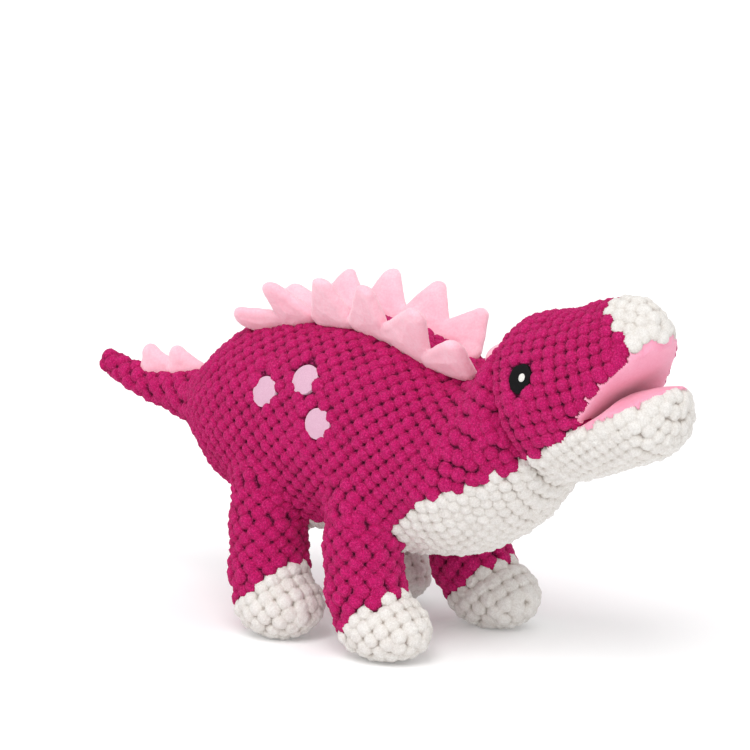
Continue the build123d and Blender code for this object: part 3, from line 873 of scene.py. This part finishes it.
# ------------------------------------------------------------------ head and jaw
HEAD_BASE = inset(head_sdf, INSET)
hv, hq, hn = skin(HEAD_BASE, (72, -46, 84), (196, 46, 196), STEP)
EYE_D, EYE_N, EYE_RX, EYE_RZ = 25.8, 13.9, 6.0, 6.9


def head_zone(p):
    """0/1 cheek right/left, 2 snout, 3 chin, 4 jaw, 5 palate, 6 jaw lining"""
    q, upper, jaw, a, b, back = head_parts(p)
    d, y, n = q.T
    out = np.where(y < 0, 0, 1)
    tip = np.interp(n, [-20, 6, 20, 30, 40], [88, 80.5, 74, 69.5, 67.5])
    out = np.where((d > tip) & (n > -12), 2, out)
    line = np.interp(d, [-6, 4, 23, 38, 46, 48, 60], [-25, -22.5, -21.5, -20.0, -17.5, -16.5, -14])
    out = np.where(n < line, 3, out)
    out = np.where((n < line) & (d > 37), 4, out)
    return out


def pink_zone(p, margin):
    """5 palate, 6 jaw lining, 0 elsewhere"""
    q, upper, jaw, a, b, back = head_parts(p)
    pg, tg = palate_gap(q), tongue_gap(q)
    out = np.zeros(len(p), int)
    out[(pg > upper + margin) & (a < b + 0.3) & (q[:, 0] > 45)] = 5
    out[(tg > jaw + margin) & (b <= a + 0.3) & (q[:, 0] > 45)] = 6
    return out


def near_eye(p, grow):
    q = to_head(p)
    # upright in the toy's frame, so the oval is turned back by the head's pitch
    u = (q[:, 0] - EYE_D) * c25 - (q[:, 2] - EYE_N) * s25
    w = (q[:, 0] - EYE_D) * s25 + (q[:, 2] - EYE_N) * c25
    return (u / (EYE_RX + grow)) ** 2 + (w / (EYE_RZ + grow)) ** 2 < 1


sets = []
for side, label_ in ((-1, 0), (1, 1)):
    c = lattice(HEAD, 4.2, 97.8, side, False, to_world=from_head, phase=1.2)
    c = project(HEAD_BASE, c, 3, 4)
    z = head_zone(c)
    sets.append(c[(z == label_) | (z == 2)])
    c = lattice(JAW, 4.2, 91, side, False, skew=0.55, to_world=from_head)
    c = project(HEAD_BASE, c, 3, 4)
    z = head_zone(c)
    sets.append(c[(z == 3) | (z == 4)])
hc = np.concatenate(sets)
hc = hc[(to_head(hc)[:, 0] > -3.5) & (pink_zone(hc, -0.4) == 0) & ~near_eye(hc, 1.0)]
hc = thin(hc, PITCH * 0.72)
sample = hv[:: 3]
sample = sample[(pink_zone(sample, -1.2) == 0) & (to_head(sample)[:, 0] > -4)]
hc = fill(hc, sample, PITCH * 0.80, lambda b: near_eye(b, 1.8))
hc = relax(hc, HEAD_BASE, 3, 0.95)
hc = fill(hc, sample, PITCH * 0.76, lambda b: near_eye(b, 1.8))
hc = relax(hc, HEAD_BASE, 2, 0.93)
hc = fill(hc, sample, PITCH * 0.78, lambda b: near_eye(b, 1.8))
hc = hc[(pink_zone(hc, 0.2) == 0) & ~near_eye(hc, 1.3)]
hc += rng.uniform(-0.2, 0.2, hc.shape)
hregion = head_zone(hc)
hmoved, hnear, hshare = puff(hv, hn, hc, hregion >= 2, near_eye(hv, 1.2) | (pink_zone(hv, 0.0) > 0))
pink = np.where(hshare < 0.30, pink_zone(hv, -1.5), pink_zone(hv, 0.9))
hq_, up_, jw_, a_, b_, k_ = head_parts(hv)
pink_margin = np.maximum(palate_gap(hq_) - up_, tongue_gap(hq_) - jw_)
pink_in = np.clip((pink_margin - 0.9) / 3.5, 0, 1)
pink_in = pink_in * pink_in * (3 - 2 * pink_in)
# fleece is smooth: it lies a little over the backing
is_pink = pink > 0
nap = 0.05 * rng.uniform(-1, 1, len(hv))
near_edge = np.clip((pink_margin + 1.5) / 2.4, 0, 1)
rise = 0.3 + 0.6 * near_edge + 1.5 * pink_in + nap
hmoved[is_pink] = hv[is_pink] + hn[is_pink] * rise[is_pink, None]
hlabel = np.where(is_pink, pink, hregion[hnear])
hf = face_labels(hlabel, hshare, hq, is_pink)
hidden = to_head(hv)[:, 0] < -5.5
ok = ~hidden[hq].any(1)
# puff drives the knit's painted crease shade and tops; the mouth fleece gets no painted crease shade
hvalues = {"puff": hshare, "painted_crease_shade": np.zeros(len(hv))}


def head_point(d, n=0.0):
    return tuple(from_head(np.array([[d, 0.0, n]]))[0])


neck_bend = ("torso", "head", head_point(0.0), head_point(28.0))
jaw_bend = ("head", "jaw", head_point(45.5, -17.0), head_point(60.0, -17.0))
for lab, name, mat, reps, slot_name, bend in (
    (0, "head_side_right_knit", MAGENTA, ["head_side_right"], "magenta_knit", neck_bend),
    (1, "head_side_left_knit", MAGENTA, ["head_side_left"], "magenta_knit", neck_bend),
    (2, "snout_tip_knit", WHITE, ["snout_tip"], "white_knit", None),
    (3, "chin_panel_knit", WHITE, ["chin_panel", "head_stuffing"], "white_knit", neck_bend),
    (4, "jaw_knit", WHITE, ["jaw_cover", "jaw_stuffing"], "white_knit", jaw_bend),
    (5, "palate_fleece", MOUTH, ["palate_lining"], "mouth_fleece", None),
    (6, "jaw_lining_fleece", MOUTH, ["jaw_lining"], "mouth_fleece", jaw_bend),
):
    o = mesh_object(name, hmoved, hq[(hf == lab) & ok], hvalues)
    finish_piece(o, mat, "head", reps, bend=bend)


# ------------------------------------------------------------------ embroidery
def patch(name, sdf, centre, u, w, ru, rw, lift, edge, mat, body, reps, slot_name, rows=34, ragged=0.0):
    """An embroidered oval laid on the skin: satin stitches inside a corded rim."""
    u, w = np.array(u, float), np.array(w, float)
    radii = np.linspace(0, 1, rows)
    turns = 120
    pts, th = [np.array(centre, float)], [0.5]
    grid = []
    a = np.linspace(0, 2 * math.pi, turns, endpoint=False)
    ring = np.stack([np.cos(a), np.sin(a), np.zeros(turns)], 1) * 4 + centre
    edge_shape = 1 + ragged * noise3(ring, 1.15, 31)
    for r in radii[1:]:
        ru_, rw_ = ru * (1 + (edge_shape - 1) * r**2), rw * (1 + (edge_shape - 1) * r**2)
        pts.extend(np.array(centre) + (ru_ * r * np.cos(a))[:, None] * u + (rw_ * r * np.sin(a))[:, None] * w)
    p = project(sdf, np.array(pts), 4, 6)
    g = gradient(sdf, p)
    g /= np.linalg.norm(g, axis=1, keepdims=True)
    r_all = np.concatenate([[0], np.repeat(radii[1:], turns)])
    a_all = np.concatenate([[0], np.tile(np.linspace(0, 2 * math.pi, turns, endpoint=False), rows - 1)])
    dome = lift * (1 - 0.10 * r_all**2 - 0.18 * r_all**8)
    rim = r_all > 0.90
    stitch = 0.5 + 0.5 * np.sin((ru * r_all * np.cos(a_all)) * 2 * math.pi / 0.62 + 0.8 * noise3(p, 1.3, 5))
    rim_stitch = 0.5 + 0.5 * np.sin(a_all * 58 + 0.5 * noise3(p, 1.0, 8))
    h = dome + np.where(rim, edge + 0.10 * rim_stitch, 0.12 * stitch)
    h = np.where(r_all > 0.985, -0.5, h)
    # the stitch ripple also paints shade into the grooves and lighter stitch ridges
    stitch_shade = np.where(rim, 0.35 + 0.65 * rim_stitch, stitch)
    p = p + g * h[:, None]
    faces = []
    for k in range(1, rows - 1):
        i0 = 1 + (k - 1) * turns
        i1 = 1 + k * turns
        j = np.arange(turns)
        jn = (j + 1) % turns
        faces.append(np.stack([i0 + j, i1 + j, i1 + jn, i0 + jn], 1))
    faces = np.concatenate(faces)
    centre_fan = np.stack([np.zeros(turns // 2, int), 1 + np.arange(0, turns, 2), 1 + np.arange(1, turns, 2), 1 + (np.arange(2, turns + 2, 2) % turns)], 1)
    return p, np.concatenate([faces, centre_fan]), stitch_shade


def join_patches(name, patches, mat, body, reps):
    verts, faces, stitch_shade, n = [], [], [], 0
    for p, f, t in patches:
        verts.append(p)
        faces.append(f + n)
        stitch_shade.append(t)
        n += len(p)
    o = mesh_object(name, np.concatenate(verts), np.concatenate(faces), {"stitch_shade": np.concatenate(stitch_shade)})
    return finish_piece(o, mat, body, reps)


for side, word in ((-1, "right"), (1, "left")):
    ps = []
    for x, z in SPOT_AT:
        start = project(BODY_BASE, np.array([[x, side * 46.0, z]]), 5, 6)
        start[0, 0], start[0, 2] = x, z
        g = gradient(BODY_BASE, start)[0]
        g /= np.linalg.norm(g)
        u = np.array([1.0, 0, 0]) - g[0] * g
        u /= np.linalg.norm(u)
        w = np.cross(g, u)
        c0 = project(BODY_BASE, start, 3, 4)[0]
        f = patch("s", BODY_BASE, c0, u, w, SPOT_RX + 0.2, SPOT_RZ + 0.2, 2.1, 0.10, SPOT, "torso", [], "")
        ps.append(f)
    join_patches(f"spots_{word}_embroidery", ps, SPOT, "torso", [f"spots_{word}"])
    q0 = from_head(np.array([[EYE_D, side * 36.0, EYE_N]]))
    c0 = project(HEAD_BASE, q0, 5, 6)[0]
    g = gradient(HEAD_BASE, c0[None])[0]
    g /= np.linalg.norm(g)
    u = np.array([1.0, 0, 0]) - g[0] * g
    u /= np.linalg.norm(u)
    w = np.cross(g, u)
    e = patch("e", HEAD_BASE, c0, u, w, EYE_RX + 0.1, EYE_RZ + 0.2, 2.5, 0.05, BLACK, "head", [], "", ragged=0.12)
    join_patches(f"eye_{word}_embroidery", [e], BLACK, "head", [f"eye_{word}"])
    c1 = project(HEAD_BASE, (c0 + u * 1.6 + np.array([0, 0, 0.3]))[None], 3, 4)[0]
    e = patch("h", HEAD_BASE, c1, u, w, 1.8, 2.15, 3.05, 0.0, GLINT, "head", [], "", rows=12)
    join_patches(f"eye_glint_{word}_embroidery", [e], GLINT, "head", [f"eye_glint_{word}"])


# ------------------------------------------------------------------ fleece spikes
# tip centres and the valleys beside them (x, z); the hand-sewn rows are not quite alike
TIPS = {
    -1: [(-73.6, 146.3), (-50.9, 163.4), (-18.6, 171.2), (9.4, 172.4), (42.0, 167.2), (59.8, 153.0)],
    1: [(-77.0, 148.6), (-43.6, 161.2), (-17.5, 165.4), (10.3, 163.7), (36.7, 155.0), (60.4, 144.6)],
}
VALLEYS = {
    -1: [(-69.5, 138.6), (-55.0, 152.3), (-33.2, 155.0), (-9.1, 157.3), (14.6, 158.2), (41.0, 149.4), (67.0, 136.0)],
    1: [(-74.5, 140.0), (-57.0, 151.6), (-29.0, 154.8), (-3.5, 156.4), (22.0, 153.7), (45.0, 142.5), (68.5, 136.0)],
}
SEAM_X = [-74, -60, -40, -25, -8, 6, 16, 26, 38, 58, 68]
SEAM_Z = [136.6, 143.0, 148.4, 149.6, 150.0, 149.4, 146.6, 142.8, 139.0, 136.4, 137.6]
TIP_R = 5.5


def flat_triangle(p, corners):
    """Signed distance to a triangle in the plane."""
    best = np.full(len(p), 1e9)
    inside = np.ones(len(p), bool)
    area2 = np.cross(corners[1] - corners[0], corners[2] - corners[0])
    for i in range(3):
        a, b = corners[i], corners[(i + 1) % 3]
        ab, ap = b - a, p - a
        t = np.clip(ap @ ab / (ab @ ab), 0, 1)
        best = np.minimum(best, np.linalg.norm(ap - t[:, None] * ab, axis=1))
        inside &= (ab[0] * ap[:, 1] - ab[1] * ap[:, 0]) * np.sign(area2) > 0
    return np.where(inside, -best, best)


def spike_row_sdf(side):
    """One folded sheet of fleece: a saw-toothed edge, thin at its rim, cushioned inside."""
    teeth = []
    for i, tip in enumerate(TIPS[side]):
        tip = np.array(tip)
        corners = [tip]
        for valley, turn in ((VALLEYS[side][i], 1.0), (VALLEYS[side][i + 1], -1.0)):
            way = tip - np.array(valley)
            length = np.linalg.norm(way)
            way /= length
            al = turn * math.asin(min(0.98, TIP_R / length))
            way = np.array([way[0] * math.cos(al) - way[1] * math.sin(al), way[0] * math.sin(al) + way[1] * math.cos(al)])
            reach = length * math.cos(al)
            if way[1] > 0.3:
                low = np.interp(valley[0], SEAM_X, SEAM_Z) + TIP_R - 2.0
                reach = max((tip[1] - low) / way[1], 2.0)
            corners.append(tip - way * reach)
        teeth.append(np.array(corners))

    def field(p):
        xz = p[:, [0, 2]]
        edge = None
        for corners in teeth:
            d = flat_triangle(xz, corners) - TIP_R
            edge = d if edge is None else smin(edge, d, 0.9)
        seam = np.interp(p[:, 0], SEAM_X, SEAM_Z)
        flat = np.abs((p[:, 1] * side - 12.6) * 0.857 - (p[:, 2] - seam) * 0.515)
        depth = -edge
        rim = 4.8
        round_rim = np.hypot(np.maximum(rim - depth, 0), flat * rim / 3.7) - rim
        return round_rim - 0.22 * np.clip(depth - rim, 0, 8)

    return field


def tail_row_sdf(p):
    """Two saw-toothed humps with a steep rear edge."""
    q = p.copy()
    q[:, 1] *= 1.45
    out = round_cone(q, (-149.5, 0, 103.5), (-117, 0, 108.0), 3.6, 3.4)
    for top, low, rear in (
        ((-148.4, 112.2), (-139.0, 109.0), (-149.4, 105.5)),
        ((-131.6, 114.2), (-118.5, 109.6), (-133.0, 106.5)),
    ):
        t, l, r = ((x, 0, z) for x, z in (top, low, rear))
        hump = smin(round_cone(q, t, l, 4.5, 3.6), round_cone(q, t, r, 4.5, 4.6), 1.5)
        hump = smin(hump, round_cone(q, r, l, 4.6, 3.8), 1.5)
        out = smin(out, hump, 1.2)
    return out / 1.2


def fleece_piece(name, sdf, lo, hi, body, reps, base_sdf, step, bend=None):
    v, q = surface_nets(sdf, lo, hi, step)
    v = project(sdf, v, 2, step)
    v, q = subdivide(v, q)
    v = project(sdf, v, 1, step)
    g = gradient(sdf, v, 0.25)
    g /= np.maximum(np.linalg.norm(g, axis=1, keepdims=True), 1e-9)
    depth = base_sdf(v)
    keep = depth > -3.2
    soft = 0.28 * noise3(v, 5.5, 11) + 0.12 * noise3(v, 2.2, 12) + 0.05 * rng.uniform(-1, 1, len(v))
    v = v + g * soft[:, None]
    # painted shade: stronger the nearer the fleece lies to the body
    painted_crease_shade = np.clip((8.0 - depth) / 12.0, 0, 1) ** 1.6 * 0.75
    f = q[keep[q].all(1)]
    o = mesh_object(name, v, f, {"painted_crease_shade": painted_crease_shade})
    return finish_piece(o, PINK, body, reps, bend=bend)


spike_step = 1.0
for side, word in ((-1, "right"), (1, "left")):
    lo = (-86, min(side * 4, side * 38), 124)
    hi = (76, max(side * 4, side * 38), 178)
    fleece_piece(
        f"back_spikes_{word}_fleece", spike_row_sdf(side), lo, hi, "torso",
        [f"back_spikes_{word}"], BODY_BASE, spike_step,
    )
fleece_piece("tail_spikes_fleece", tail_row_sdf, (-164, -12, 92), (-106, 12, 124), "tail", ["tail_spikes"], BODY_BASE, spike_step * 0.8)


# ------------------------------------------------------------------ floor, light, camera
bpy.ops.mesh.primitive_plane_add(size=12.0, location=(0, 0, 0))
floor = bpy.context.object
floor.name = "floor"
fm, fnt, fb = node_material("floor_paper")
fcol = ramp_node(fnt, noise_tex(fnt, 3.0, 2.0, 0.5), [(0.3, (0.90, 0.90, 0.905)), (0.7, (0.93, 0.93, 0.935))])
fnt.links.new(fcol, fb.inputs["Base Color"])
fb.inputs["Roughness"].default_value = 0.9
fb.inputs["Emission Color"].default_value = (1, 1, 1, 1)
fb.inputs["Emission Strength"].default_value = 0.12
fb.inputs["Specular IOR Level"].default_value = 0.1
floor.data.materials.append(fm)

world = bpy.data.worlds.new("studio")
bpy.context.scene.world = world
world.use_nodes = True
world.node_tree.nodes["Background"].inputs["Color"].default_value = (1.0, 1.0, 1.0, 1)
world.node_tree.nodes["Background"].inputs["Strength"].default_value = 0.62


def area(name, loc, target, size, power, color=(1, 1, 1)):
    light = bpy.data.lights.new(name, "AREA")
    light.shape = "RECTANGLE"
    light.size, light.size_y = size
    light.energy = power
    light.color = color
    o = bpy.data.objects.new(name, light)
    bpy.context.scene.collection.objects.link(o)
    o.location = loc
    o.rotation_euler = (Vector(target) - Vector(loc)).to_track_quat("-Z", "Y").to_euler()
    return o


def sun(name, direction, strength, angle):
    light = bpy.data.lights.new(name, "SUN")
    light.energy = strength
    light.angle = math.radians(angle)
    o = bpy.data.objects.new(name, light)
    bpy.context.scene.collection.objects.link(o)
    o.rotation_euler = Vector(direction).to_track_quat("-Z", "Y").to_euler()
    return o


sun("key", (-0.30, 0.62, -1.0), 1.45, 35)
sun("fill", (0.9, 0.5, -0.6), 0.35, 70)
sun("front", (-0.8, 0.35, -0.3), 0.42, 70)
area("top", (0.1, 0.3, 1.6), (0, 0, 0.1), (1.2, 1.2), 3.0)

cam_data = bpy.data.cameras.new("camera")
cam = bpy.data.objects.new("camera", cam_data)
bpy.context.scene.collection.objects.link(cam)
bpy.context.scene.camera = cam
az, el, dist = math.radians(40.0), math.radians(14.5), 12.0
target = Vector(((-8.1 + SHIFT) / 1000, 0, 0.125))
forward = Vector((-math.sin(az) * math.cos(el), math.cos(az) * math.cos(el), -math.sin(el)))
cam.location = target - forward * dist
cam.rotation_euler = forward.to_track_quat("-Z", "Y").to_euler()
cam_data.lens = 1207.5
cam_data.sensor_width = 36.0
cam_data.clip_end = 50.0

scene = bpy.context.scene
scene.view_settings.view_transform = "Standard"
scene.view_settings.look = "None"
